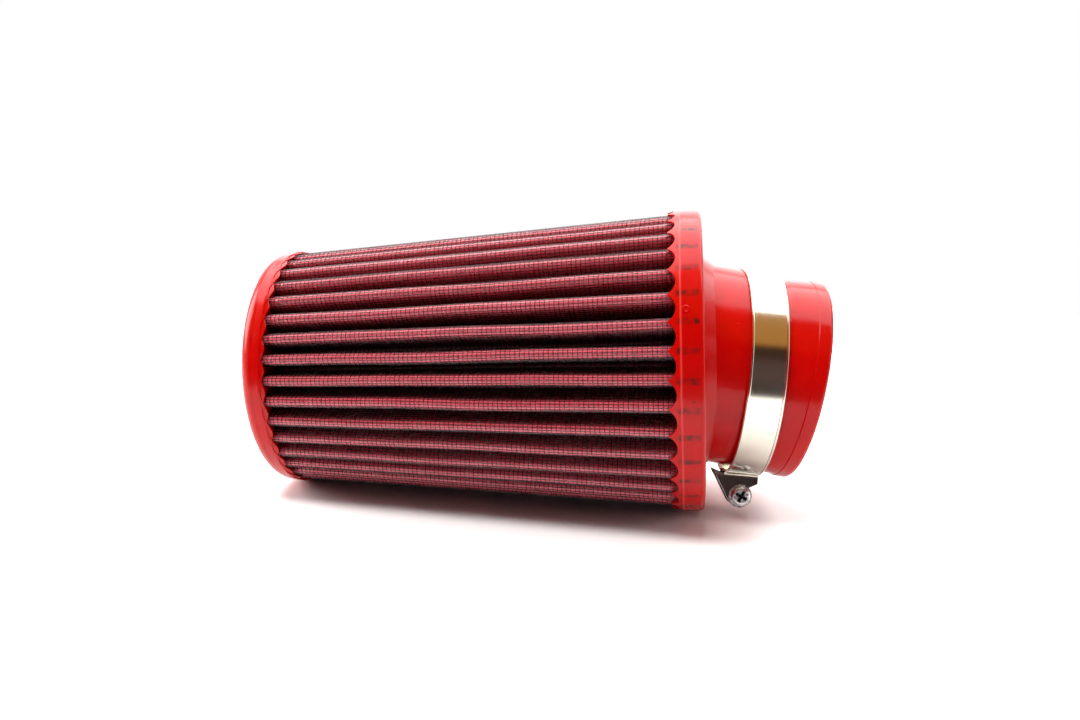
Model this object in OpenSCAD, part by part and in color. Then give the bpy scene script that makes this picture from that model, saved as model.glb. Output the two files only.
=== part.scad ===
// Clamp-on cone air filter for a car engine: pleated oiled cotton between two wire screens,
// a soft moulded cap and base, an angled neck and a loose band clamp. It lies on its side.
// Each piece is drawn about its own axis first, then tilted and laid down by one move.

/* [Cap] */
// How far the cap's widest line stands out from the pleat tips
cap_wall = 0.85; // [0.6:0.05:3]
// How much smaller in radius the cap's side is where the end rounding starts
cap_taper = 0.45; // [0:0.05:3]
// Rounding between the cap's side and its end face
cap_round = 6.3; // [3:0.1:8]
// Height of the widest line on the cap's side above the end face
cap_wide_z = 8.9; // [8.1:0.1:9.3]
// Thickness of the cap up to the floor that carries the pleats
cap_t = 9.5; // [9.2:0.1:13]
// Height of the scallop points above that floor
cap_lip = 0.9; // [0.4:0.1:2]
// Depth of the round hollow inside the cap
cap_hollow = 5; // [1:0.5:7]
// Depth of the shallow round panel in the end face
cap_panel = 0.8; // [0.3:0.1:1.5]
// Radius of that panel
cap_panel_r = 33; // [20:1:38]

/* [Base ring] */
// How far the base ring's front ridge stands out from the pleat tips
ring_wall = 1.8; // [1.4:0.1:8]
// How much smaller the ring's rear edge is in radius
ring_draft = 0.2; // [0:0.05:1]
// Width of the ring from its front ridge to its rear face
ring_w = 8.4; // [6:0.1:14]
// Distance from the ring's front ridge forward to its scallop points
ring_lip = 4.7; // [3:0.1:6]
// Depth of the scallops between those points
ring_scallop = 3; // [1.5:0.1:3.4]
// Thickness of the lip at its scallop points
lip_t = 0.6; // [0.4:0.05:1.5]
// Rounding of the ring's rear edge
ring_round = 1.6; // [0.5:0.1:3]
// Height of the chamfered shoulder behind the ring
shoulder_h = 4.6; // [2:0.1:8]
// How far the shoulder's foot stands out from the neck's root
shoulder_w = 3; // [1:0.1:6]

/* [Pleats] */
// Number of pleats round the cone
pleats = 36; // [24:1:44]
// Length of the pleats between the cap's floor and the base's floor
pleat_l = 161.8; // [80:0.1:260]
// Radius at the pleat tips, at the cap
tip_r_cap = 49.3; // [44:0.1:58]
// Radius at the pleat tips, at the base
tip_r_base = 60.2; // [59:0.1:66]
// Depth of a pleat from its tip to its valley
pleat_depth = 13; // [9:0.5:14]
// Rounding of the pleat tips, half the width of a pleat
pleat_round = 2.4; // [2.3:0.1:2.8]
// Rounding of the valleys between pleats
valley_round = 0.9; // [0.5:0.1:1.2]
// Turn of the whole pleat pattern about the axis
pleat_turn = 5.2; // [0:0.1:10]
// Thickness of one woven wire screen
screen_t = 0.45; // [0.3:0.05:0.6]
// Thickness of the oiled cotton between the screens
cotton_t = 0.95; // [0.6:0.05:1.1]

/* [Neck] */
// Inner radius of the neck, for a 70 mm duct
bore_r = 35; // [30:0.5:36]
// Tilt of the neck away from the cone's axis
neck_tilt = 13.3; // [0:0.1:16]
// Direction of that tilt, turned from straight down
neck_turn = 19.4; // [0:0.1:30]
// Length of the neck along its own axis, from the base's rear part
neck_l = 46.3; // [43:0.1:70]
// Distance of the neck's pivot behind the ring's front ridge
neck_pivot = 4.3; // [2:0.1:6]
// Thickness of the neck's wall at its root, under the clamp
neck_wall = 5.2; // [4:0.1:7]
// How much smaller in radius the neck is just past the clamp
waist_in = 0.8; // [0:0.1:1.5]
// How much larger in radius the neck is before the bead than at its root
flare_out = 0.2; // [-0.5:0.05:1]
// How far the end bead stands out from the flare
bead_h = 0.35; // [0.1:0.05:1]
// Length of the bead at the neck's end
bead_w = 5.9; // [3:0.1:8]
// Rounding of the neck's outer end edge
end_round = 2; // [1:0.1:2.8]
// Chamfer at the mouth of the bore
mouth_chamfer = 1.2; // [0.5:0.1:2]
// Rounding where the inside of the cone flows into the bore
bell_round = 7.5; // [3:0.5:8]

/* [Clamp] */
// Place of the clamp along the neck
clamp_pos = 23.3; // [18:0.1:27]
// Width of the clamp band
band_w = 14; // [10:0.5:16]
// Thickness of the band
band_t = 0.7; // [0.5:0.1:1]
// Clearance between the neck's root and the loose band at its tightest point
band_fit = 0.1; // [0.05:0.05:0.5]
// Radius of the rolled bead along each band edge
band_bead = 0.5; // [0.4:0.05:0.6]
// How far the loose clamp hangs off the neck's axis
clamp_drop = 0.5; // [0:0.1:1.5]
// How far the loose clamp leans on the neck
clamp_skew = 5.5; // [0:0.5:6]
// Turn of the clamp's ears about the neck
ear_turn = -33; // [-90:1:90]
// Clear gap between the two ears
ear_gap = 9; // [5:0.5:14]
// How far the ear's wing stands out past the band's edge, on the side of the cone
ear_wing = 4.4; // [1:0.1:6]
// How far inside the band's outer face that wing starts
wing_rise = 1.3; // [0:0.1:1.6]
// How far the ear's other side runs straight out before it slants in to the tip
ear_straight = 3.3; // [2:0.1:4]
// Sideways set of the ear tips from the band's middle, away from the cone
ear_set = 0.1; // [-1:0.1:1]
// Distance of the screw from the outside of the band
screw_off = 8.6; // [8:0.1:14]
// Radius of the rounded ear tip about the screw
ear_tip_r = 4.9; // [4.6:0.1:6]
// Depth of the folded rim round each ear
ear_rim = 2; // [1:0.1:3]
// Inner radius of the bend between band and ear
ear_bend = 1; // [0.6:0.1:2]
// Angle that the bridge under the gap spans
bridge_span = 44; // [30:1:60]
// Thickness of the bridge
bridge_t = 0.5; // [0.3:0.05:0.7]

/* [Screw] */
// Radius of the screw's shank
screw_r = 2; // [1.5:0.25:2.5]
// Radius of the screw's pan head
head_r = 3.95; // [3.5:0.05:5]
// Height of the pan head
head_h = 2.7; // [2:0.1:3.5]
// Depth of the cross recess
recess_d = 1.5; // [0.8:0.1:1.8]
// Width of one arm of the cross recess
recess_w = 1.1; // [0.7:0.1:1.5]
// Turn of the cross recess
recess_turn = 25; // [0:5:85]
// Radius of the washer under the head
washer_r = 4.6; // [4.2:0.1:5]
// Thickness of the washer
washer_t = 0.8; // [0.5:0.1:1.2]
// Width of the nut across its flats
nut_af = 7; // [6:0.5:9]
// Height of the nut
nut_h = 3.2; // [2.4:0.1:5]
// Length of thread that stands out of the nut
thread_out = 3; // [1:0.5:10]
// Clearance of the screw in its holes
hole_fit = 0.2; // [0.1:0.05:0.4]

/* [Hidden] */
$fn = 96;
// small clearances: pleats in their lips, layer on layer, nut on thread
lip_fit = 0.1;
layer_fit = 0.04;
thread_fit = 0.05;
cut = 1;
// step between the rounded way in and the bore
bell_step = 1.2;
// how far one bent piece runs into the next, in degrees
weld = 1.5;
// how far the ear's flat runs back into the bend, how many degrees short of flat the bend
// ends inside it, and how much narrower than the band it starts
foot_lap = 0.4;
bend_short = 8;
ear_inset = 0.05;
// outer radii of the cap, the base ring and the neck
cap_r = tip_r_cap + cap_wall;
cap_end_r = cap_r - cap_taper;
ring_r = tip_r_base + ring_wall;
root_r = bore_r + neck_wall;
waist_r = root_r - waist_in;
flare_r = root_r + flare_out;
shoulder_r = root_r + shoulder_w;
shoulder_top_r = root_r - 0.3;
// stations along the cone's axis, from the cap's end face
base_z = cap_t + pleat_l;
ridge_z = base_z + ring_lip - ring_scallop;
rear_z = ridge_z + ring_w;
pivot_z = ridge_z + neck_pivot;
shoulder_z = rear_z + shoulder_h;
lip_z = ridge_z - ring_lip;
lip_r = tip_r_base + lip_fit;
// the pack of layers, outside to inside
cotton_d = screen_t + layer_fit;
inner_d = cotton_d + cotton_t + layer_fit;
pack_d = inner_d + screen_t;
pleat_in = pleat_depth + pack_d;
// the scallops are parts of circles, each as wide as a pleat, and stop just above the floor
pitch = 360 / pleats;
scallop_clear = 0.1;
scallop_fill = 0.98;
ring_half = scallop_fill * (lip_r + lip_t) * sin(pitch / 2);
ring_scoop = (ring_half * ring_half + ring_scallop * ring_scallop) / (2 * ring_scallop);
cap_half = scallop_fill * cap_r * sin(pitch / 2);
cap_scoop = (cap_half * cap_half + cap_lip * cap_lip) / (2 * cap_lip);
cap_lip_r = tip_r_cap + lip_fit;
hollow_r = tip_r_cap - pleat_in - 2;
throat_r = bore_r + bell_step + bell_round;
core_r = bore_r / 2;
bore_back = pivot_z - base_z + 0.8 * bell_round;
// the clamp band just clears the root where it leans in most
lean = (band_w / 2) * sin(clamp_skew);
band_in = (root_r + band_fit + clamp_drop + lean) / cos(clamp_skew);
band_out = band_in + band_t;
bead_r = band_in + 2 * band_bead;
ear_y = ear_gap / 2;
ear_a = asin((ear_y + ear_bend + band_t) / (band_out + ear_bend));
bend_c = (band_out + ear_bend) * [cos(ear_a), sin(ear_a)];
screw_x = band_out + screw_off;
rim_start = bend_c[0] + 0.6;
head_y = -(ear_y + band_t + washer_t);
nut_y = ear_y + band_t;
nut_r = nut_af / 2 / cos(30);
// the cone rests on the cap's widest line and the ring's ridge
lie_tilt = atan((ring_r - cap_r) / (ridge_z - cap_wide_z));
drop_z = cap_r * cos(lie_tilt) - cap_wide_z * sin(lie_tilt);
// the whole length, to put the origin under its middle
x_low = cap_round * cos(lie_tilt) - (cap_end_r - cap_round) * sin(lie_tilt) - cap_round;
neck_x = cos(lie_tilt) * cos(neck_tilt) + sin(lie_tilt) * sin(neck_tilt) * cos(neck_turn);
end_r = flare_r + bead_h;
x_high = pivot_z * cos(lie_tilt) + (neck_l - end_round) * neck_x
    + (end_r - end_round) * sqrt(1 - neck_x * neck_x) + end_round;
x_mid = (x_low + x_high) / 2;

// lays the standing cone on its side
module lay() {
    translate([-x_mid, 0, drop_z])
        rotate([0, 90 - lie_tilt, 0])
            children();
}

// carries a shape to the tilted neck
module on_neck() {
    translate([0, 0, pivot_z])
        rotate([0, 0, neck_turn])
            rotate([0, neck_tilt, 0])
                children();
}

// carries a shape to the loose clamp, with its ears along x
module on_clamp() {
    on_neck()
        translate([0, 0, clamp_pos])
            rotate([0, 0, ear_turn])
                rotate([0, -clamp_skew, 0])
                    translate([clamp_drop, 0, 0])
                        children();
}

// part of a circle, as points from one angle to another
function arc(c, r, a0, a1, n) = [for (i = [0:n]) c + r * [cos(a0 + (a1 - a0) * i / n), sin(a0 + (a1 - a0) * i / n)]];

// round cuts between the pleat tips, through a lip at one end
module scoops(radius, r, z) {
    for (i = [0:pleats - 1])
        rotate([0, 0, pleat_turn + (i + 0.5) * pitch])
            translate([radius - 0.4, 0, z])
                rotate([0, 90, 0])
                    cylinder(r = r, h = 3);
}

module cap_body() {
    rotate_extrude()
        union() {
            polygon([[0, cap_panel], [cap_panel_r - 1, cap_panel], [cap_panel_r, 0],
                [cap_end_r - cap_round, 0], [cap_end_r - cap_round, cap_round], [cap_end_r, cap_round],
                [cap_r, cap_wide_z], [cap_r - 0.05, cap_t + cap_lip], [cap_lip_r, cap_t + cap_lip],
                [cap_lip_r, cap_t], [hollow_r, cap_t], [hollow_r - 2, cap_t - cap_hollow],
                [0, cap_t - cap_hollow]]);
            translate([cap_end_r - cap_round, cap_round])
                intersection() {
                    circle(r = cap_round);
                    translate([0, -cap_round])
                        square(cap_round);
                }
        }
}

module end_cap() {
    color([0.85, 0.06, 0.05])
        lay()
            difference() {
                cap_body();
                scoops(cap_r, cap_scoop, cap_t + cap_scoop);
            }
}

// the base ring with its scalloped lip and chamfered shoulder
module ring_body() {
    rear_r = ring_r - ring_draft;
    rotate_extrude()
        union() {
            polygon([[core_r, base_z], [lip_r, base_z], [lip_r, lip_z], [lip_r + lip_t, lip_z],
                [ring_r, ridge_z], [rear_r, rear_z - ring_round], [rear_r - ring_round, rear_z - ring_round],
                [rear_r - ring_round, rear_z], [shoulder_r, rear_z], [shoulder_top_r, shoulder_z],
                [core_r, shoulder_z], [core_r, base_z]]);
            translate([rear_r - ring_round, rear_z - ring_round])
                intersection() {
                    circle(r = ring_round);
                    square(ring_round);
                }
        }
}

// the neck's wall about its own axis, solid inside
module neck_body() {
    rotate_extrude()
        union() {
            polygon([[0, -root_r / 2], [root_r, -root_r / 2], [root_r, clamp_pos - band_w / 2],
                [waist_r, clamp_pos + band_w / 2], [flare_r, neck_l - bead_w], [end_r, neck_l - bead_w + 0.4],
                [end_r, neck_l - end_round], [end_r - end_round, neck_l - end_round],
                [end_r - end_round, neck_l], [0, neck_l]]);
            translate([end_r - end_round, neck_l - end_round])
                intersection() {
                    circle(r = end_round);
                    square(end_round);
                }
        }
}

// the air's way: a rounded mouth inside the cone, then the bore and its chamfered end
module air_way() {
    rotate_extrude()
        polygon(concat([[0, base_z - cut], [throat_r, base_z - cut]],
            arc([throat_r, base_z + bell_round], bell_round, 270, 180, 8),
            [[0, base_z + bell_round]]));
    on_neck()
        union() {
            translate([0, 0, -bore_back])
                cylinder(r = bore_r, h = neck_l + bore_back + cut);
            translate([0, 0, neck_l - mouth_chamfer])
                cylinder(r1 = bore_r, r2 = bore_r + mouth_chamfer + 0.1, h = mouth_chamfer + 0.1);
        }
}

module base_neck() {
    color([0.85, 0.06, 0.05])
        lay()
            difference() {
                union() {
                    ring_body();
                    intersection() {
                        on_neck()
                            neck_body();
                        translate([0, 0, rear_z - ring_round])
                            cylinder(r = ring_r, h = neck_l + ring_r);
                    }
                }
                air_way();
                scoops(lip_r, ring_scoop, base_z - scallop_clear - ring_scoop);
            }
}

// one layer's outline, d in from the outermost face: round tips and round valleys
tip_steps = 4;
dip_steps = 3;
function pleat_pt(c, r, turn, a) = [
    c * cos(turn) + r * cos(a + turn),
    c * sin(turn) + r * sin(a + turn)];
function pleat_line(tip_r, d, z) = [
    for (i = [0:pleats - 1])
        for (j = [0:tip_steps + dip_steps + 1])
            let (on_tip = j <= tip_steps,
                turn = pleat_turn + (on_tip ? i : i + 0.5) * pitch,
                c = on_tip ? tip_r - pleat_round : tip_r - pleat_depth + valley_round,
                r = on_tip ? pleat_round - d : valley_round + d,
                a = on_tip ? -90 + 180 * j / tip_steps
                    : 250 - 140 * (j - tip_steps - 1) / dip_steps)
            concat(pleat_pt(c, r, turn, a), [z])];

// a thin pleated skin from d0 to d1 in from the outermost face, cap to base
module pleated_skin(d0, d1) {
    z0 = cap_t;
    z1 = base_z;
    n = pleats * (tip_steps + dip_steps + 2);
    pts = concat(pleat_line(tip_r_cap, d0, z0), pleat_line(tip_r_base, d0, z1),
        pleat_line(tip_r_cap, d1, z0), pleat_line(tip_r_base, d1, z1));
    outer = [for (i = [0:n - 1]) let (k = (i + 1) % n) each [[i, n + i, k], [k, n + i, n + k]]];
    inner = [for (i = [0:n - 1]) let (k = (i + 1) % n)
        each [[2 * n + i, 2 * n + k, 3 * n + i], [2 * n + k, 3 * n + k, 3 * n + i]]];
    low = [for (i = [0:n - 1]) let (k = (i + 1) % n)
        each [[i, k, 2 * n + i], [k, 2 * n + k, 2 * n + i]]];
    high = [for (i = [0:n - 1]) let (k = (i + 1) % n)
        each [[n + i, 3 * n + i, n + k], [n + k, 3 * n + i, 3 * n + k]]];
    polyhedron(points = pts, faces = concat(outer, inner, low, high), convexity = 10);
}

module outer_screen() {
    color([0.45, 0.12, 0.17])
        lay()
            pleated_skin(0, screen_t);
}

module cotton() {
    color([0.75, 0.1, 0.2])
        lay()
            pleated_skin(cotton_d, cotton_d + cotton_t);
}

module inner_screen() {
    color([0.4, 0.4, 0.42])
        lay()
            pleated_skin(inner_d, pack_d);
}

// the hoop of the band, open between its ears, with a rolled bead along each edge
module hoop() {
    rotate([0, 0, ear_a])
        rotate_extrude(angle = 360 - 2 * ear_a)
            union() {
                translate([band_in, -band_w / 2])
                    square([band_t, band_w]);
                for (s = [-1, 1])
                    translate([band_in + band_bead, s * (band_w / 2 - band_bead)])
                        circle(r = band_bead);
            }
}

// where the line from a corner touches a circle about a point, on the side away from the middle
function touch(corner, c, r, s) =
    let (d = corner - c, b = atan2(d[1], d[0]), a = acos(r / norm(d)))
    c + r * [cos(b - s * a), sin(b - s * a)];

// flat outline of an ear, x out from the band and y along the neck, drawn in by e
module ear_shape(e) {
    c = [screw_x, ear_set];
    r = ear_tip_r - e;
    foot = bend_c[0] - foot_lap;
    side = band_w / 2 - ear_inset - e;
    wing = [band_out - wing_rise + e, -side - ear_wing];
    knee = [band_out + ear_straight - 0.4 * e, side];
    polygon([[foot, -side], wing, touch(wing, c, r, -1), c, c + r * [-0.7071, 0.7071], knee,
        [foot, side]]);
    translate(c)
        circle(r = r);
}

// one ear: the band turns outward, then widens and narrows to a round tip with a folded rim
module ear() {
    translate([bend_c[0], bend_c[1], 0])
        rotate([0, 0, 180 + ear_a - weld])
            rotate_extrude(angle = 90 - ear_a + weld - bend_short)
                translate([ear_bend, -band_w / 2])
                    square([band_t, band_w]);
    difference() {
        translate([0, ear_y + band_t, 0])
            rotate([90, 0, 0])
                union() {
                    linear_extrude(band_t)
                        ear_shape(0);
                    linear_extrude(band_t + ear_rim)
                        intersection() {
                            difference() {
                                ear_shape(0);
                                ear_shape(band_t);
                            }
                            translate([rim_start, -2 * band_w])
                                square([screw_off + 2 * ear_tip_r, 4 * band_w]);
                        }
                }
        translate([screw_x, 0, ear_set])
            rotate([-90, 0, 0])
                cylinder(r = screw_r + hole_fit, h = 2 * ear_gap);
    }
}

module clamp_band() {
    color([0.72, 0.7, 0.68])
        lay()
            on_clamp()
                union() {
                    hoop();
                    ear();
                    mirror([0, 1, 0])
                        ear();
                }
}

// the tongue that bridges the gap under the band
module clamp_bridge() {
    color([0.7, 0.69, 0.67])
        lay()
            on_clamp()
                rotate([0, 0, -bridge_span / 2])
                    rotate_extrude(angle = bridge_span)
                        translate([band_in - thread_fit - bridge_t, -band_w / 2 + 1])
                            square([bridge_t, band_w - 2]);
}

// carries a shape to the screw's axis, z from the head towards the nut
module on_screw() {
    on_clamp()
        translate([screw_x, head_y, ear_set])
            rotate([-90, 0, 0])
                children();
}

module clamp_screw() {
    reach = nut_y - head_y + nut_h + thread_out;
    color([0.8, 0.8, 0.8])
        lay()
            on_screw()
                difference() {
                    rotate_extrude()
                        polygon(concat([[0, reach], [0, -head_h]],
                            arc([head_r - 1.3, -head_h + 1.3], 1.3, -90, 0, 5),
                            [[head_r, 0], [screw_r, 0], [screw_r, reach - 0.5], [screw_r - 0.5, reach]]));
                    for (a = [0, 90])
                        rotate([0, 0, recess_turn + a])
                            translate([-head_r * 0.62, -recess_w / 2, -head_h - cut])
                                cube([head_r * 1.24, recess_w, recess_d + cut]);
                }
}

module clamp_washer() {
    color([0.6, 0.6, 0.6])
        lay()
            on_screw()
                difference() {
                    cylinder(r = washer_r, h = washer_t);
                    translate([0, 0, -cut])
                        cylinder(r = screw_r + hole_fit, h = washer_t + 2 * cut);
                }
}

module clamp_nut() {
    color([0.75, 0.73, 0.66])
        lay()
            on_screw()
                translate([0, 0, nut_y - head_y])
                    difference() {
                        cylinder(r = nut_r, h = nut_h, $fn = 6);
                        translate([0, 0, -cut])
                            cylinder(r = screw_r + thread_fit, h = nut_h + 2 * cut);
                    }
}

end_cap();
base_neck();
outer_screen();
cotton();
inner_screen();
clamp_band();
clamp_bridge();
clamp_screw();
clamp_washer();
clamp_nut();
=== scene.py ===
import math

import bpy
import numpy as np
from mathutils import Matrix, Vector


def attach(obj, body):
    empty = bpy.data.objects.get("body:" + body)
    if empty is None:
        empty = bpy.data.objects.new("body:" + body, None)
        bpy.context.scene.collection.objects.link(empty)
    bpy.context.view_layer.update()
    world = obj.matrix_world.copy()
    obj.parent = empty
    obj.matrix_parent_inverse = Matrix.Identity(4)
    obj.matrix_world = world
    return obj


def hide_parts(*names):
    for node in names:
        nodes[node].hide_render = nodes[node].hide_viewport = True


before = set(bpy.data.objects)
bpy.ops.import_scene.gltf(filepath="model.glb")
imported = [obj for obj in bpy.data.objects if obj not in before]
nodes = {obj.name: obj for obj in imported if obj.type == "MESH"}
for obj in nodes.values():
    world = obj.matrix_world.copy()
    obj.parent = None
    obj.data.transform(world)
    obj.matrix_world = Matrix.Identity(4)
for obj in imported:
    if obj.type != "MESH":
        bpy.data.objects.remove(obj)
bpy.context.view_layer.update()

# sizes, in metres
MM = 0.001

# the pleated pack, along the cone from the cap to the base
PLEATS = 36
PITCH = 2 * math.pi / PLEATS
TURN = math.radians(5.2)
CAP_T = 9.5 * MM
PLEAT_L = 161.8 * MM
BASE_Z = CAP_T + PLEAT_L
TIP_CAP = 49.3 * MM
TIP_BASE = 60.2 * MM
DEPTH = 13 * MM
TIP_ROUND = 2.4 * MM
DIP_ROUND = 0.9 * MM
DIP_FROM = 250
DIP_SWEEP = 140

# how far a pleat sways, and for each wave its share, step per pleat, start and rate along the cone
SWAY = 0.22 * MM
SWAY_WAVES = ((1.0, 2.4, 0.0, 38.0), (0.6, 5.1, 1.3, 83.0))

# the layers, from outside in
SCREEN_T = 0.45 * MM
COTTON_T = 0.95 * MM
LAYER_FIT = 0.04 * MM
COTTON_AT = SCREEN_T + LAYER_FIT
INNER_AT = COTTON_AT + COTTON_T + LAYER_FIT

# points round each tip and each dip of a layer, and its rows along the cone
COTTON_STEPS = (12, 6, 24)
INNER_STEPS = (8, 4, 12)
WIRE_STEPS = (16, 8)

# the woven wires
WIRE_R = 0.13 * MM
WIRE_SIDES = 3
WIRE_WAVE = 0.07 * MM
STRAIGHT_ROWS = 6
CELL_Z = 1.81 * MM
CELLS = 21 * PLEATS
HOOPS = int((PLEAT_L - 0.6 * MM) / CELL_Z)
HOOP_0 = CAP_T + (PLEAT_L - (HOOPS - 1) * CELL_Z) / 2
HOOP_GROUPS = 3

# the mouldings
RIDGE_Z = BASE_Z + 1.7 * MM
REAR_Z = RIDGE_Z + 8.4 * MM
PIVOT_Z = RIDGE_Z + 4.3 * MM
RING_R = TIP_BASE + 1.8 * MM
CAP_R = TIP_CAP + 0.85 * MM
CAP_WIDE_Z = 8.9 * MM
NECK_TILT = math.radians(13.3)
NECK_TURN = math.radians(19.4)
ROOT_R = 40.2 * MM
NECK_FIT = 0.1 * MM
BUBBLE = (59.3986 * MM, -54.2857 * MM, 91.8493 * MM)
SPECK = (64.0129 * MM, -61.9607 * MM, 59.9412 * MM)

# the waves on the cap's edge
EDGE_IN = TIP_CAP + 0.1 * MM
EDGE_OUT = TIP_CAP + 0.55 * MM
EDGE_FOOT = CAP_T + 0.2 * MM
EDGE_LOW = CAP_T + 0.9 * MM
EDGE_HIGH = CAP_T + 2.0 * MM
EDGE_CHAMFER = 0.15 * MM
EDGE_POINTS = 30 * PLEATS

# the clamp and its screw
CLAMP_POS = 23.3 * MM
BAND_W = 14 * MM
BAND_T = 0.7 * MM
CLAMP_DROP = 0.5 * MM
CLAMP_SKEW = math.radians(5.5)
EAR_TURN = math.radians(-33)
EAR_SET = 0.1 * MM
HEAD_Y = -6.0 * MM
RECESS_END_Y = -6.6 * MM
RECESS_TURN = math.radians(25)
ARM_HALF = 0.50 * MM
ARM_REACH = 2.3 * MM
SHANK_R = 2.0 * MM
THREAD = 0.7 * MM
THREAD_FROM = 1.6 * MM
THREAD_TO = 17.0 * MM
THREAD_OUT = 0.14 * MM
THREAD_ROOT = 0.06 * MM
THREAD_HALF = 0.27 * MM
THREAD_POINTS = 24
BAND_IN = (ROOT_R + NECK_FIT + CLAMP_DROP + BAND_W / 2 * math.sin(CLAMP_SKEW)) / math.cos(CLAMP_SKEW)
BAND_OUT = BAND_IN + BAND_T
SCREW_X = BAND_OUT + 8.6 * MM

# the filter lies on the cap's widest circle and on the ring's ridge
X_MID = 112.8932 * MM
LIE = math.atan((RING_R - CAP_R) / (RIDGE_Z - CAP_WIDE_Z))
DROP = CAP_R * math.cos(LIE) - CAP_WIDE_Z * math.sin(LIE)

LAY = Matrix.Translation((-X_MID, 0, DROP)) @ Matrix.Rotation(math.pi / 2 - LIE, 4, "Y")
ON_NECK = (LAY @ Matrix.Translation((0, 0, PIVOT_Z)) @ Matrix.Rotation(NECK_TURN, 4, "Z")
           @ Matrix.Rotation(NECK_TILT, 4, "Y"))
ON_CLAMP = (ON_NECK @ Matrix.Translation((0, 0, CLAMP_POS)) @ Matrix.Rotation(EAR_TURN, 4, "Z")
            @ Matrix.Rotation(-CLAMP_SKEW, 4, "Y") @ Matrix.Translation((CLAMP_DROP, 0, 0)))

# colours
RUBBER_DEEP = (0.52, 0.0012, 0.0006, 1)
RUBBER_PALE = (0.62, 0.0020, 0.0010, 1)
TIP_SHADE_COLOUR = (0.09, 0.008, 0.006, 1)
PARTING_HIGHLIGHT_COLOUR = (0.85, 0.055, 0.045, 1)
SPECK_COLOUR = (0.05, 0.006, 0.005, 1)
COTTON_DEEP = (0.95, 0.045, 0.085, 1)
COTTON_PALE = (1.0, 0.165, 0.225, 1)
COTTON_CLOUD = (0.82, 0.030, 0.055, 1)
COTTON_VALLEY_SHADE = (0.20, 0.010, 0.016, 1)
COTTON_WIRE_SHADOW = (0.16, 0.008, 0.014, 1)
COTTON_SHEEN = (1.0, 0.7, 0.78, 1)
WIRE_DARK = (0.10, 0.088, 0.094, 1)
WIRE_PALE = (0.24, 0.22, 0.225, 1)
INNER_DEEP = (0.42, 0.02, 0.045, 1)
INNER_PALE = (0.62, 0.05, 0.09, 1)
INNER_WIRE = (0.20, 0.195, 0.20, 1)
STEEL_DARK = (0.76, 0.73, 0.62, 1)
STEEL_PALE = (0.84, 0.81, 0.70, 1)
EAR_REFLECTION_DARK = (0.30, 0.285, 0.27, 1)
ZINC_DARK = (0.42, 0.43, 0.46, 1)
ZINC_PALE = (0.95, 0.95, 0.94, 1)
RECESS_SHADE = (0.03, 0.028, 0.026, 1)
FLOOR_PLAIN = (0.86, 0.86, 0.86, 1)
FLOOR_GLOSS = (1.0, 1.0, 1.0, 1)
FLOOR_SEEN = (1.35, 1.33, 1.31, 1)
SKY = (0.95, 0.97, 1.0, 1)
WHITE = (1, 1, 1, 1)
TABLE_DARK = (0.055, 0.040, 0.036, 1)
DUSK = (0.094, 0.058, 0.056, 1)
BROWN = (0.05, 0.026, 0.02, 1)
NIGHT = (0.028, 0.018, 0.012, 1)
EMBER = (0.32, 0.125, 0.026, 1)
GOLD = (0.47, 0.215, 0.055, 1)


def place(matrix, pts):
    m = np.array(matrix)
    return pts @ m[:3, :3].T + m[:3, 3]


def new_mesh(name, verts, faces, uv=None, smooth=True):
    """A mesh object from arrays: verts n by 3, faces m by 3 or 4, uv one pair per vertex."""
    me = bpy.data.meshes.new(name)
    faces = np.asarray(faces, np.int32)
    verts = np.asarray(verts, np.float32)
    corners = faces.shape[1]
    me.vertices.add(len(verts))
    me.vertices.foreach_set("co", verts.ravel())
    me.loops.add(faces.size)
    me.loops.foreach_set("vertex_index", faces.ravel())
    me.polygons.add(len(faces))
    me.polygons.foreach_set("loop_start", np.arange(0, faces.size, corners, dtype=np.int32))
    me.polygons.foreach_set("use_smooth", np.full(len(faces), smooth))
    if uv is not None:
        layer = me.uv_layers.new(name="flat")
        layer.data.foreach_set("uv", np.asarray(uv, np.float32)[faces.ravel()].ravel())
    me.update(calc_edges=True)
    me.validate()
    ob = bpy.data.objects.new(name, me)
    bpy.context.scene.collection.objects.link(ob)
    return ob


def tube_faces(sides, n, i, k):
    """Faces of a tube: each side is a run of n points, and point i of a run is joined to point k."""
    faces = []
    for j in range(sides):
        m = (j + 1) % sides
        faces.append(np.column_stack([j * n + i, j * n + k, m * n + k, m * n + i]))
    return np.concatenate(faces)


# pleats
def arc(centre_r, centre_turn, radius, a):
    """A point of a round whose centre lies centre_r out, at angle a from the way out there."""
    return (centre_r * math.cos(centre_turn) + radius * math.cos(a + centre_turn),
            centre_r * math.sin(centre_turn) + radius * math.sin(a + centre_turn))


def pleat_profile(tip_r, d, tip_n, dip_n):
    """One layer's closed outline in the plane across the cone, d in from the outermost face."""
    pts = []
    for i in range(PLEATS):
        tip_turn = TURN + i * PITCH
        for j in range(tip_n + 1):
            a = -math.pi / 2 + math.pi * j / tip_n
            pts.append(arc(tip_r - TIP_ROUND, tip_turn, TIP_ROUND - d, a))
        for j in range(dip_n + 1):
            a = math.radians(DIP_FROM - DIP_SWEEP * j / dip_n)
            pts.append(arc(tip_r - DEPTH + DIP_ROUND, tip_turn + PITCH / 2, DIP_ROUND + d, a))
    return np.array(pts)


def run_lengths(profile):
    """A closed outline's steps, their lengths, and the length run before each, the whole last."""
    step = np.roll(profile, -1, 0) - profile
    seg = np.linalg.norm(step, axis=1)
    return step, seg, np.concatenate([[0], np.cumsum(seg)])


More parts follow.
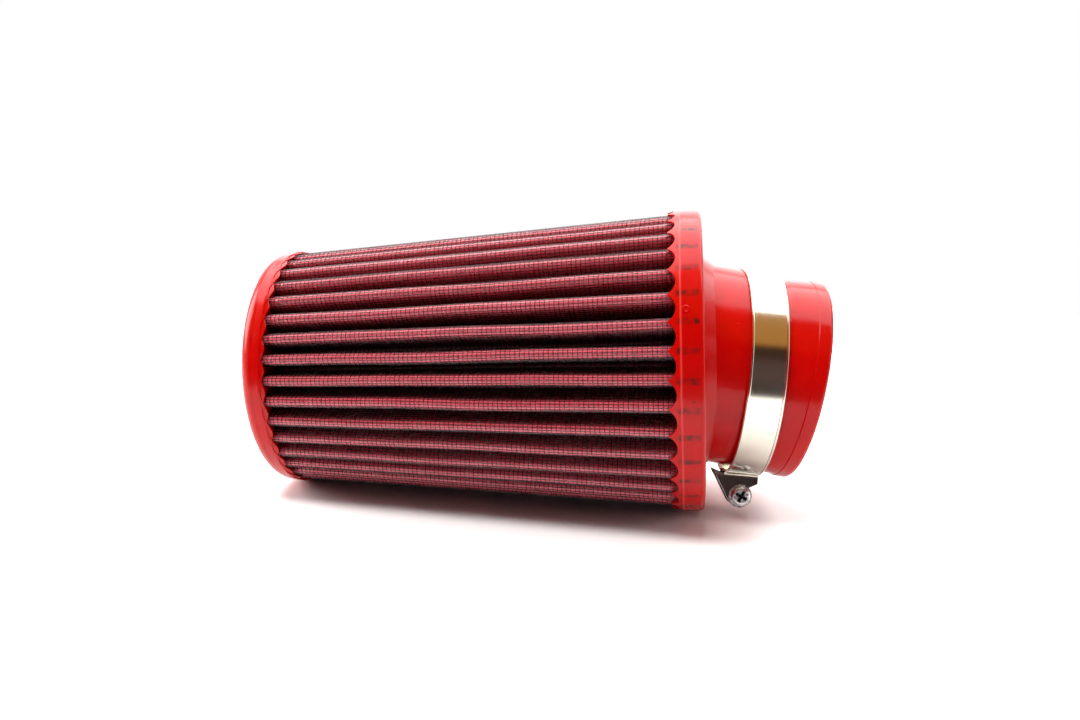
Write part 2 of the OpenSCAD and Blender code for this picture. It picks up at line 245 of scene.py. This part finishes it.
def along(profile, ratio):
    """Points at given shares of a closed outline's length, with the outward normal there."""
    step, seg, s = run_lengths(profile)
    q = (ratio % 1.0) * s[-1]
    i = np.clip(np.searchsorted(s, q, side="right") - 1, 0, len(seg) - 1)
    t = ((q - s[i]) / seg[i])[:, None]
    p = profile[i] * (1 - t) + np.roll(profile, -1, 0)[i] * t
    mid = step / seg[:, None]
    before = (mid + np.roll(mid, 1, 0))[i]
    after = (mid + np.roll(mid, -1, 0))[i]
    tan = before * (1 - t) + after * t
    tan /= np.linalg.norm(tan, axis=1)[:, None]
    return p, np.stack([tan[:, 1], -tan[:, 0]], 1)


def wobble(p, z):
    """The small unevenness of a hand-folded pack: pleats sway sideways a little."""
    ang = np.arctan2(p[..., 1], p[..., 0])
    k = np.round((ang - TURN) / PITCH)
    mid = np.sin(np.pi * (z - CAP_T) / PLEAT_L).clip(0)
    wave = sum(share * np.sin(k * step + start + z * rate) for share, step, start, rate in SWAY_WAVES)
    sway = SWAY * mid * wave
    out = p.copy()
    out[..., 0] = p[..., 0] - np.sin(ang) * sway
    out[..., 1] = p[..., 1] + np.cos(ang) * sway
    return out


def skin(name, d0, d1, steps):
    """A pleated sheet with both faces, laid down, with flat coordinates that count the wires."""
    tip_n, dip_n, rows = steps
    n = PLEATS * (tip_n + dip_n + 2)
    _, _, s = run_lengths(pleat_profile(TIP_BASE, 0, tip_n, dip_n))
    cell = s[:-1] / s[-1] * CELLS
    verts, uv = [], []
    for d in (d0, d1):
        a = pleat_profile(TIP_CAP, d, tip_n, dip_n)
        b = pleat_profile(TIP_BASE, d, tip_n, dip_n)
        for z in np.linspace(CAP_T, BASE_Z, rows + 1):
            t = (z - CAP_T) / PLEAT_L
            p = wobble(a * (1 - t) + b * t, z)
            verts.append(np.column_stack([p, np.full(n, z)]))
            uv.append(np.column_stack([cell - 0.5, np.full(n, (z - HOOP_0) / CELL_Z)]))
    i = np.arange(n)
    k = (i + 1) % n
    half = (rows + 1) * n
    last = rows * n
    faces = []
    for r in range(rows):
        o = r * n
        faces.append(np.column_stack([o + i, o + k, o + n + k, o + n + i]))
    for r in range(rows):
        o = half + r * n
        faces.append(np.column_stack([o + i, o + n + i, o + n + k, o + k]))
    faces.append(np.column_stack([i, half + i, half + k, k]))
    faces.append(np.column_stack([last + i, last + k, half + last + k, half + last + i]))
    verts = place(LAY, np.concatenate(verts))
    return new_mesh(name, verts, np.concatenate(faces), np.concatenate(uv))


# woven wires
def wire_ends(ratio):
    """Where the wires' paths start at the cap and end at the base, with the normals there."""
    return (along(pleat_profile(TIP_CAP, 0, *WIRE_STEPS), ratio),
            along(pleat_profile(TIP_BASE, 0, *WIRE_STEPS), ratio))


def between(ends, z):
    """The paths' points and outward normals at height z."""
    (pa, na), (pb, nb) = ends
    t = (z - CAP_T) / PLEAT_L
    normal = na * (1 - t) + nb * t
    normal /= np.linalg.norm(normal, axis=1)[:, None]
    return wobble(pa * (1 - t) + pb * t, z), normal


def hoop_wires(name, rows):
    """Wires that run round the cone, waving over and under the straight ones."""
    ends = wire_ends((np.arange(CELLS) + 0.5) / CELLS)
    i = np.arange(CELLS)
    tube = tube_faces(WIRE_SIDES, CELLS, i, (i + 1) % CELLS)
    verts, faces = [], []
    for count, row in enumerate(rows):
        z = HOOP_0 + row * CELL_Z
        p, normal = between(ends, z)
        over = np.where((i + row) % 2 == 0, 1.0, -1.0)
        depth = SCREEN_T / 2 - WIRE_WAVE * over
        mid = p - normal * depth[:, None]
        for a in np.arange(WIRE_SIDES) * 2 * math.pi / WIRE_SIDES:
            height = np.full(CELLS, z + WIRE_R * math.sin(a))
            verts.append(np.column_stack([mid + normal * (WIRE_R * math.cos(a)), height]))
        faces.append(count * WIRE_SIDES * CELLS + tube)
    return new_mesh(name, place(LAY, np.concatenate(verts)), np.concatenate(faces))


def straight_wires(name):
    """Wires that run along the cone, one at each share of the outline."""
    ends = wire_ends(np.arange(CELLS) / CELLS + 0.5 / CELLS)
    rows = STRAIGHT_ROWS
    verts, faces = [], []
    for a in np.arange(WIRE_SIDES) * 2 * math.pi / WIRE_SIDES:
        for z in np.linspace(CAP_T, BASE_Z, rows + 1):
            p, normal = between(ends, z)
            tan = np.column_stack([-normal[:, 1], normal[:, 0]])
            mid = p - normal * (SCREEN_T / 2)
            mid = mid + normal * WIRE_R * math.cos(a) + tan * WIRE_R * math.sin(a)
            verts.append(np.column_stack([mid, np.full(CELLS, z)]))
    i = np.arange(CELLS)
    for j in range(WIRE_SIDES):
        m = (j + 1) % WIRE_SIDES
        for r in range(rows):
            p0 = (j * (rows + 1) + r) * CELLS
            p1 = (m * (rows + 1) + r) * CELLS
            faces.append(np.column_stack([p0 + i, p1 + i, p1 + CELLS + i, p0 + CELLS + i]))
    return new_mesh(name, place(LAY, np.concatenate(verts)), np.concatenate(faces))


# the cap's edge and the screw's thread
def cap_waves(name):
    """The cap's wavy edge: rubber that rose a little higher in each valley of the pleats."""
    n = EDGE_POINTS
    i = np.arange(n)
    a = i * 2 * math.pi / n
    rise = 0.5 - 0.5 * np.cos((a - TURN) * PLEATS)
    top = EDGE_LOW + (EDGE_HIGH - EDGE_LOW) * rise
    foot = np.full(n, EDGE_FOOT)
    section = ((EDGE_IN, foot), (EDGE_OUT, foot), (EDGE_OUT, top - EDGE_CHAMFER),
               (EDGE_OUT - EDGE_CHAMFER, top), (EDGE_IN, top))
    verts = np.concatenate([np.column_stack([r * np.cos(a), r * np.sin(a), z]) for r, z in section])
    faces = tube_faces(len(section), n, i, (i + 1) % n)
    return new_mesh(name, place(LAY, verts), faces, smooth=False)


def screw_thread(name):
    """The ridge that winds round the screw's shank."""
    n = int((THREAD_TO - THREAD_FROM) / THREAD * THREAD_POINTS)
    i = np.arange(n)
    a = i * 2 * math.pi / THREAD_POINTS
    run = THREAD_FROM + i * THREAD / THREAD_POINTS
    section = ((SHANK_R + THREAD_OUT, 0), (SHANK_R - THREAD_ROOT, THREAD_HALF),
               (SHANK_R - THREAD_ROOT, -THREAD_HALF))
    verts = []
    for r, up in section:
        x = SCREW_X + r * np.cos(a)
        z = EAR_SET - r * np.sin(a)
        verts.append(np.column_stack([x, HEAD_Y + run + up, z]))
    faces = tube_faces(len(section), n, i[:-1], i[:-1] + 1)
    return new_mesh(name, place(ON_CLAMP, np.concatenate(verts)), faces, smooth=False)


# nodes that the materials are built from
def join(tree, value, socket):
    if isinstance(value, bpy.types.NodeSocket):
        tree.links.new(value, socket)
    else:
        socket.default_value = value


def add(tree, kind, inputs=None, **props):
    n = tree.nodes.new(kind)
    for k, v in props.items():
        setattr(n, k, v)
    for k, v in (inputs or {}).items():
        join(tree, v, n.inputs[k])
    return n


def math_node(tree, op, *values):
    return add(tree, "ShaderNodeMath", dict(enumerate(values)), operation=op).outputs[0]


def times(tree, a, b):
    return math_node(tree, "MULTIPLY", a, b)


def minus(tree, a, b):
    return math_node(tree, "SUBTRACT", a, b)


def scaled(tree, value, by, plus):
    return math_node(tree, "ADD", times(tree, value, by), plus)


def mix_colour(tree, factor, a, b):
    return add(tree, "ShaderNodeMix", {0: factor, 6: a, 7: b}, data_type="RGBA").outputs[2]


def ramp(tree, value, lo, hi):
    """0 below lo, 1 above hi, and smooth between."""
    span = {"Value": value, "From Min": lo, "From Max": hi}
    return add(tree, "ShaderNodeMapRange", span, interpolation_type="SMOOTHSTEP").outputs[0]


def fall(tree, value, lo, hi):
    """1 below lo, 0 above hi, and smooth between."""
    return minus(tree, 1.0, ramp(tree, value, lo, hi))


def noise(tree, vector, scale, detail, rough):
    inputs = {"Vector": vector, "Scale": scale, "Detail": detail, "Roughness": rough}
    return add(tree, "ShaderNodeTexNoise", inputs).outputs["Fac"]


def vector_of(tree, x, y):
    return add(tree, "ShaderNodeCombineXYZ", {"X": x, "Y": y, "Z": 0.0}).outputs[0]


def vector_math(tree, op, a, b):
    return add(tree, "ShaderNodeVectorMath", {0: a, 1: b}, operation=op)


def distance(tree, vector, point):
    return vector_math(tree, "DISTANCE", vector, point).outputs["Value"]


def radius(tree, x, y):
    return math_node(tree, "SQRT", math_node(tree, "ADD", times(tree, x, x), times(tree, y, y)))


def local_axes(tree, matrix):
    """The object's coordinates, and the same point in the axes that the matrix places."""
    obj = add(tree, "ShaderNodeTexCoord").outputs["Object"]
    inv = matrix.inverted()
    out = []
    for r in range(3):
        dot = vector_math(tree, "DOT_PRODUCT", obj, tuple(inv[r][:3])).outputs["Value"]
        out.append(math_node(tree, "ADD", dot, inv[r][3]))
    return obj, out


def bumped(tree, shader, height, strength, depth):
    bump = add(tree, "ShaderNodeBump", {"Height": height, "Strength": strength, "Distance": depth})
    tree.links.new(bump.outputs[0], shader.inputs["Normal"])


def nodes_of(name):
    mat = bpy.data.materials.new(name)
    mat.use_nodes = True
    tree = mat.node_tree
    return mat, tree, tree.nodes["Principled BSDF"]


def plain_nodes(name):
    """A material with nothing in it but its output."""
    mat = bpy.data.materials.new(name)
    mat.use_nodes = True
    tree = mat.node_tree
    tree.nodes.clear()
    return mat, tree, add(tree, "ShaderNodeOutputMaterial")


def dress(ob, mat):
    ob.data.materials.clear()
    ob.data.materials.append(mat)


# materials
def tip_shade_seen_through(t, obj, x, y, z, outer):
    """Painted shade: where the pleats' dark tips show through the thin wall of the ring as a shadow,
    in broken dashes.
    """
    turn = math_node(t, "DIVIDE", minus(t, math_node(t, "ARCTAN2", y, x), TURN), PITCH)
    off = math_node(t, "ABSOLUTE", minus(t, turn, math_node(t, "ROUND", turn)))
    near = fall(t, off, 0.05, 0.17)
    start = ramp(t, z, BASE_Z - 1.0 * MM, BASE_Z + 1.0 * MM)
    stop = fall(t, z, REAR_Z - 2.2 * MM, REAR_Z - 1.4 * MM)
    spread = vector_of(t, times(t, z, 520.0), times(t, turn, 3.7))
    dash = ramp(t, noise(t, spread, 1.0, 2.0, 0.7), 0.36, 0.60)
    patch = ramp(t, noise(t, obj, 160.0, 3.0, 0.6), 0.36, 0.62)
    shade = times(t, times(t, near, outer), times(t, start, stop))
    shade = times(t, shade, scaled(t, dash, 0.70, 0.30))
    return times(t, shade, scaled(t, patch, 0.6, 0.4))


def red_material():
    """The moulded rubber: a soft skin with painted shade where the pleats' tips show through, a
    parting line with a painted highlight, a bubble and a speck.
    """
    mat, t, b = nodes_of("red_polyurethane")
    obj, (x, y, z) = local_axes(t, LAY)
    cloud = noise(t, obj, 55.0, 4.0, 0.6)
    outer = ramp(t, radius(t, x, y), RING_R - 2.0 * MM, RING_R - 1.2 * MM)
    col = mix_colour(t, ramp(t, cloud, 0.3, 0.7), RUBBER_DEEP, RUBBER_PALE)
    # painted shade of the pleats' tips seen through the ring's wall, darkening its colour
    col = mix_colour(t, tip_shade_seen_through(t, obj, x, y, z, outer), col, TIP_SHADE_COLOUR)
    # the skin's own lumps, waves and small dots
    lump = noise(t, obj, 260.0, 3.0, 0.55)
    wave = noise(t, obj, 70.0, 2.0, 0.5)
    dots = ramp(t, noise(t, obj, 900.0, 1.0, 0.5), 0.70, 0.80)
    h = math_node(t, "ADD", times(t, lump, 0.5), math_node(t, "MULTIPLY_ADD", dots, 0.5, wave))
    # the parting line round the ring, at its ridge: raised in the bump, and pale in colour as a
    # painted highlight
    before = ramp(t, z, RIDGE_Z - 0.6 * MM, RIDGE_Z)
    after = ramp(t, z, RIDGE_Z, RIDGE_Z + 0.6 * MM)
    parting_line_and_highlight = times(t, minus(t, before, after), outer)
    # painted highlight: the parting line's pale colour
    col = mix_colour(t, times(t, parting_line_and_highlight, 0.8), col, PARTING_HIGHLIGHT_COLOUR)
    h = math_node(t, "MULTIPLY_ADD", parting_line_and_highlight, 1.2, h)
    # a burst air bubble in the ring, and a dark speck
    away = distance(t, obj, BUBBLE)
    crater = minus(t, ramp(t, away, 0.5 * MM, 1.0 * MM), ramp(t, away, 1.1 * MM, 1.9 * MM))
    h = math_node(t, "MULTIPLY_ADD", crater, 2.6, h)
    speck = fall(t, distance(t, obj, SPECK), 0.25 * MM, 0.5 * MM)
    col = mix_colour(t, speck, col, SPECK_COLOUR)
    t.links.new(col, b.inputs["Base Color"])
    b.inputs["IOR"].default_value = 1.5
    b.inputs["Specular IOR Level"].default_value = 0.26
    t.links.new(scaled(t, cloud, 0.18, 0.09), b.inputs["Roughness"])
    bumped(t, b, h, 0.3, 0.4 * MM)
    return mat


def weave(t, lo, hi):
    """Where the wires of the screen lie on a sheet, and how far each cell's middle stands up."""
    uv = add(t, "ShaderNodeUVMap", uv_map="flat").outputs[0]
    sep = add(t, "ShaderNodeSeparateXYZ", {0: uv})
    u = math_node(t, "ABSOLUTE", math_node(t, "SINE", times(t, sep.outputs[0], math.pi)))
    v = math_node(t, "ABSOLUTE", math_node(t, "SINE", times(t, sep.outputs[1], math.pi)))
    wire = fall(t, math_node(t, "MINIMUM", u, v), lo, hi)
    pillow = math_node(t, "SQRT", times(t, u, v))
    return uv, wire, pillow


def cotton_material():
    mat, t, b = nodes_of("oiled_cotton")
    uv, wire, pillow = weave(t, 0.05, 0.45)
    obj, (x, y, z) = local_axes(t, LAY)
    stretch = vector_math(t, "MULTIPLY", uv, (2.2, 4.5, 1.0)).outputs[0]
    thread = noise(t, stretch, 1.0, 3.0, 0.65)
    cloud = noise(t, obj, 90.0, 3.0, 0.6)
    base = mix_colour(t, ramp(t, thread, 0.3, 0.72), COTTON_DEEP, COTTON_PALE)
    base = mix_colour(t, times(t, ramp(t, cloud, 0.35, 0.7), 0.3), base, COTTON_CLOUD)
    # painted shade: darker towards the bottom of the pleats' valleys
    grow = (TIP_BASE - TIP_CAP) / PLEAT_L
    tip = math_node(t, "MULTIPLY_ADD", minus(t, z, CAP_T), grow, TIP_CAP)
    valley_shade = ramp(t, minus(t, tip, radius(t, x, y)), 1.0 * MM, 6.0 * MM)
    base = mix_colour(t, times(t, valley_shade, 0.8), base, COTTON_VALLEY_SHADE)
    # painted shadow of the wires on the cotton, darker along the weave's lines
    base = mix_colour(t, times(t, wire, 0.55), base, COTTON_WIRE_SHADOW)
    t.links.new(base, b.inputs["Base Color"])
    b.inputs["Roughness"].default_value = 0.30
    b.inputs["Specular IOR Level"].default_value = 1.0
    b.inputs["Coat Weight"].default_value = 0.8
    b.inputs["Coat Roughness"].default_value = 0.16
    b.inputs["Sheen Weight"].default_value = 0.15
    b.inputs["Sheen Roughness"].default_value = 0.4
    b.inputs["Sheen Tint"].default_value = COTTON_SHEEN
    bumped(t, b, math_node(t, "ADD", pillow, times(t, thread, 0.25)), 0.8, 0.4 * MM)
    return mat


def wire_material():
    mat, t, b = nodes_of("coated_wire")
    obj = add(t, "ShaderNodeTexCoord").outputs["Object"]
    cloud = noise(t, obj, 220.0, 3.0, 0.6)
    t.links.new(mix_colour(t, cloud, WIRE_DARK, WIRE_PALE), b.inputs["Base Color"])
    b.inputs["Metallic"].default_value = 1.0
    t.links.new(scaled(t, cloud, 0.2, 0.16), b.inputs["Roughness"])
    return mat


def inner_material():
    """The inner screen: the same weave drawn on the sheet, cotton between the wires."""
    mat, t, b = nodes_of("inner_weave")
    uv, wire, _ = weave(t, 0.2, 0.42)
    patch = noise(t, uv, 0.9, 3.0, 0.6)
    cloth = mix_colour(t, ramp(t, patch, 0.3, 0.7), INNER_DEEP, INNER_PALE)
    t.links.new(mix_colour(t, wire, cloth, INNER_WIRE), b.inputs["Base Color"])
    t.links.new(times(t, wire, 0.7), b.inputs["Metallic"])
    t.links.new(minus(t, 0.7, times(t, wire, 0.35)), b.inputs["Roughness"])
    bumped(t, b, wire, 0.9, 0.3 * MM)
    return mat


def band_material():
    """Rolled steel with a fine grain round the band, and the ears painted darker as a stand-in for
    their dark reflection.
    """
    mat, t, b = nodes_of("rolled_steel")
    obj, (x, y, z) = local_axes(t, ON_CLAMP)
    ang = math_node(t, "ARCTAN2", y, x)
    grain = noise(t, vector_of(t, times(t, ang, 1.6), times(t, z, 2600.0)), 1.0, 4.0, 0.6)
    cloud = noise(t, obj, 60.0, 3.0, 0.6)
    base = mix_colour(t, cloud, STEEL_DARK, STEEL_PALE)
    # painted reflection: the ears' colour darkened where they mirror the dark room
    ear_dark_reflection = ramp(t, x, BAND_OUT + 0.2 * MM, BAND_OUT + 1.6 * MM)
    t.links.new(mix_colour(t, ear_dark_reflection, base, EAR_REFLECTION_DARK), b.inputs["Base Color"])
    b.inputs["Metallic"].default_value = 1.0
    t.links.new(scaled(t, grain, 0.10, 0.10), b.inputs["Roughness"])
    bumped(t, b, grain, 0.10, 0.2 * MM)
    return mat


def zinc_material():
    """Bright plating, with painted shade in the cross recess, found by its place on the head."""
    mat, t, b = nodes_of("bright_zinc")
    obj, (x, y, z) = local_axes(t, ON_CLAMP)
    cloud = noise(t, obj, 420.0, 4.0, 0.6)
    base = mix_colour(t, ramp(t, cloud, 0.38, 0.58), ZINC_DARK, ZINC_PALE)
    u = minus(t, x, SCREW_X)
    v = minus(t, EAR_SET, z)
    c, s = math.cos(RECESS_TURN), math.sin(RECESS_TURN)
    p = math_node(t, "ABSOLUTE", math_node(t, "ADD", times(t, u, c), times(t, v, s)))
    q = math_node(t, "ABSOLUTE", minus(t, times(t, v, c), times(t, u, s)))
    arm = fall(t, math_node(t, "MINIMUM", p, q), ARM_HALF, ARM_HALF + 0.28 * MM)
    reach = fall(t, math_node(t, "MAXIMUM", p, q), ARM_REACH, ARM_REACH + 0.3 * MM)
    in_head = fall(t, y, RECESS_END_Y, RECESS_END_Y + 0.3 * MM)
    # painted shade darkening the cross recess
    base = mix_colour(t, times(t, times(t, arm, reach), in_head), base, RECESS_SHADE)
    t.links.new(base, b.inputs["Base Color"])
    b.inputs["Metallic"].default_value = 0.85
    t.links.new(scaled(t, cloud, 0.2, 0.14), b.inputs["Roughness"])
    bumped(t, b, cloud, 0.5, 0.4 * MM)
    return mat


RED = red_material()
COTTON = cotton_material()
WIRE = wire_material()
INNER = inner_material()
BAND = band_material()
ZINC = zinc_material()

# the filter
for n in ("end_cap", "base_neck"):
    dress(nodes[n], RED)
for n in ("clamp_band", "clamp_bridge"):
    dress(nodes[n], BAND)
for n in ("clamp_screw", "clamp_washer", "clamp_nut"):
    dress(nodes[n], ZINC)

cotton = skin("cotton_sheet", COTTON_AT - LAYER_FIT, COTTON_AT + COTTON_T, COTTON_STEPS)
dress(cotton, COTTON)
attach(cotton, "root")
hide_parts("cotton")

inner = skin("inner_weave", INNER_AT, INNER_AT + SCREEN_T, INNER_STEPS)
dress(inner, INNER)
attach(inner, "root")
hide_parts("inner_screen")

thread = screw_thread("screw_thread")
dress(thread, ZINC)
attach(thread, "root")

waves = cap_waves("cap_edge_waves")
dress(waves, RED)
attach(waves, "root")

in_group = math.ceil(HOOPS / HOOP_GROUPS)
for g in range(HOOP_GROUPS):
    hoops = hoop_wires("hoop_wires_%d" % g, range(HOOPS)[g * in_group:(g + 1) * in_group])
    dress(hoops, WIRE)
    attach(hoops, "root")
    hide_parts("outer_screen")

wires = straight_wires("straight_wires")
dress(wires, WIRE)
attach(wires, "root")
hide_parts("outer_screen")


# floor
FLOOR_X = 0.7
FLOOR_Y = 0.6


def floor_material():
    """White to the eye and in gloss, and a plain pale grey to the light that scatters."""
    mat, t, out = plain_nodes("white_floor")
    diff = add(t, "ShaderNodeBsdfDiffuse")
    path = add(t, "ShaderNodeLightPath").outputs
    shine = math_node(t, "MAXIMUM", path["Is Glossy Ray"], path["Is Transmission Ray"])
    col = mix_colour(t, shine, FLOOR_PLAIN, FLOOR_GLOSS)
    t.links.new(mix_colour(t, path["Is Camera Ray"], col, FLOOR_SEEN), diff.inputs["Color"])
    t.links.new(diff.outputs[0], out.inputs["Surface"])
    return mat


def sheet(name, corners):
    """A flat sheet of the stage, which is no piece of the filter."""
    ob = new_mesh(name, corners, [(0, 1, 2, 3)], smooth=False)
    return ob


floor = sheet("floor", [(-FLOOR_X, -FLOOR_Y, 0), (FLOOR_X, -FLOOR_Y, 0),
                        (FLOOR_X, FLOOR_Y, 0), (-FLOOR_X, FLOOR_Y, 0)])
dress(floor, floor_material())


# light
def studio_world():
    """White where it is seen, also in gloss, and a faint light on what scatters."""
    world = bpy.data.worlds.new("studio")
    world.use_nodes = True
    t = world.node_tree
    t.nodes.clear()
    out = add(t, "ShaderNodeOutputWorld")
    light = add(t, "ShaderNodeBackground", {"Color": SKY, "Strength": 0.035})
    white = add(t, "ShaderNodeBackground", {"Color": WHITE, "Strength": 1.0})
    path = add(t, "ShaderNodeLightPath").outputs
    seen = math_node(t, "MAXIMUM", path["Is Camera Ray"], path["Is Glossy Ray"])
    seen = math_node(t, "MAXIMUM", seen, path["Is Transmission Ray"])
    mix = add(t, "ShaderNodeMixShader", {0: seen, 1: light.outputs[0], 2: white.outputs[0]})
    t.links.new(mix.outputs[0], out.inputs["Surface"])
    return world


def softbox(name, pos, target, width, height, watts):
    d = bpy.data.lights.new(name, "AREA")
    d.energy = watts
    d.shape = "RECTANGLE"
    d.size = width
    d.size_y = height
    ob = bpy.data.objects.new(name, d)
    ob.location = pos
    ob.rotation_mode = "QUATERNION"
    ob.rotation_quaternion = (Vector(target) - Vector(pos)).to_track_quat("-Z", "Y")
    bpy.context.scene.collection.objects.link(ob)
    return ob


bpy.context.scene.world = studio_world()

# each softbox: its place, what it points at, its width and height, and its watts
softbox("top_softbox", (0.0, 0.40, 0.75), (0.0, 0.40, 0), 1.6, 1.0, 16.0)
back = softbox("back_softbox", (0.0, 1.10, 0.40), (0.0, 0, 0.08), 1.6, 0.6, 3.4)
back.visible_camera = False
front = softbox("front_softbox", (-0.20, -0.40, 1.05), (0.0, 0, 0.06), 0.5, 0.3, 8.2)
front.visible_glossy = False
softbox("left_softbox", (-0.85, 0.03, 0.40), (-0.05, 0, 0.06), 0.5, 0.5, 4.8)
right = softbox("right_softbox", (0.85, -0.08, 0.28), (0.1, 0, 0.06), 0.4, 0.4, 1.5)
right.visible_glossy = False


# what stands in front of the table, seen only in metal and gloss
ROOM_Y = -0.75
ROOM_TOP = 0.76
ROOM_LEFT = -1.2
CEILING_BACK = -0.12
TABLE_Z = 0.8 * MM
TABLE_BACK = -0.25


def card(name, corners, stops):
    """A sheet that glows in the colours of its stops, from the floor up."""
    ob = sheet(name, corners)
    mat, t, out = plain_nodes(name)
    obj = add(t, "ShaderNodeTexCoord").outputs["Object"]
    height = add(t, "ShaderNodeSeparateXYZ", {0: obj}).outputs[2]
    ramp_node = add(t, "ShaderNodeValToRGB", {0: height})
    elements = ramp_node.color_ramp.elements
    while len(elements) < len(stops):
        elements.new(0.5)
    for element, (pos, col) in zip(elements, stops):
        element.position = pos
        element.color = col
    glow = add(t, "ShaderNodeEmission", {"Color": ramp_node.outputs[0], "Strength": 1.0})
    t.links.new(glow.outputs[0], out.inputs["Surface"])
    dress(ob, mat)
    ob.visible_camera = False
    ob.visible_diffuse = False
    ob.visible_shadow = False


card("room_wall",
     [(ROOM_LEFT, ROOM_Y, 0), (2.6, ROOM_Y, 0),
      (2.6, ROOM_Y, ROOM_TOP), (ROOM_LEFT, ROOM_Y, ROOM_TOP)],
     [(0.0, TABLE_DARK), (0.10, DUSK), (0.32, DUSK), (0.50, BROWN), (0.66, NIGHT), (0.74, EMBER)])
card("room_ceiling",
     [(ROOM_LEFT, ROOM_Y, ROOM_TOP), (1.6, ROOM_Y, ROOM_TOP),
      (1.6, CEILING_BACK, ROOM_TOP), (ROOM_LEFT, CEILING_BACK, ROOM_TOP)],
     [(0.0, GOLD), (1.0, GOLD)])
card("table_edge",
     [(-0.7, ROOM_Y, TABLE_Z), (0.9, ROOM_Y, TABLE_Z),
      (0.9, TABLE_BACK, TABLE_Z), (-0.7, TABLE_BACK, TABLE_Z)],
     [(0.0, TABLE_DARK), (1.0, TABLE_DARK)])

# camera
PICTURE_W = 1080
FOCAL_PX = 960.0
SENSOR_W = 36.0
CAM_POS = (0.05453, -0.3960, 0.1443)
CAM_TURN, CAM_DOWN, CAM_ROLL = (math.radians(v) for v in (-7.834, 12.101, 1.562))

cam_data = bpy.data.cameras.new("camera")
cam_data.sensor_width = SENSOR_W
cam_data.lens = FOCAL_PX / PICTURE_W * SENSOR_W
cam_data.clip_start = 0.01
cam_data.clip_end = 50
cam = bpy.data.objects.new("camera", cam_data)
bpy.context.scene.collection.objects.link(cam)
ahead = Vector((math.sin(CAM_TURN) * math.cos(CAM_DOWN), math.cos(CAM_TURN) * math.cos(CAM_DOWN),
                -math.sin(CAM_DOWN)))
level = Vector((math.cos(CAM_TURN), -math.sin(CAM_TURN), 0))
above = level.cross(ahead)
side = level * math.cos(CAM_ROLL) + above * math.sin(CAM_ROLL)
up = above * math.cos(CAM_ROLL) - level * math.sin(CAM_ROLL)
cam.matrix_world = Matrix([(side[k], up[k], -ahead[k], CAM_POS[k]) for k in range(3)] + [(0, 0, 0, 1)])
bpy.context.scene.camera = cam
bpy.context.scene.view_settings.view_transform = "Standard"
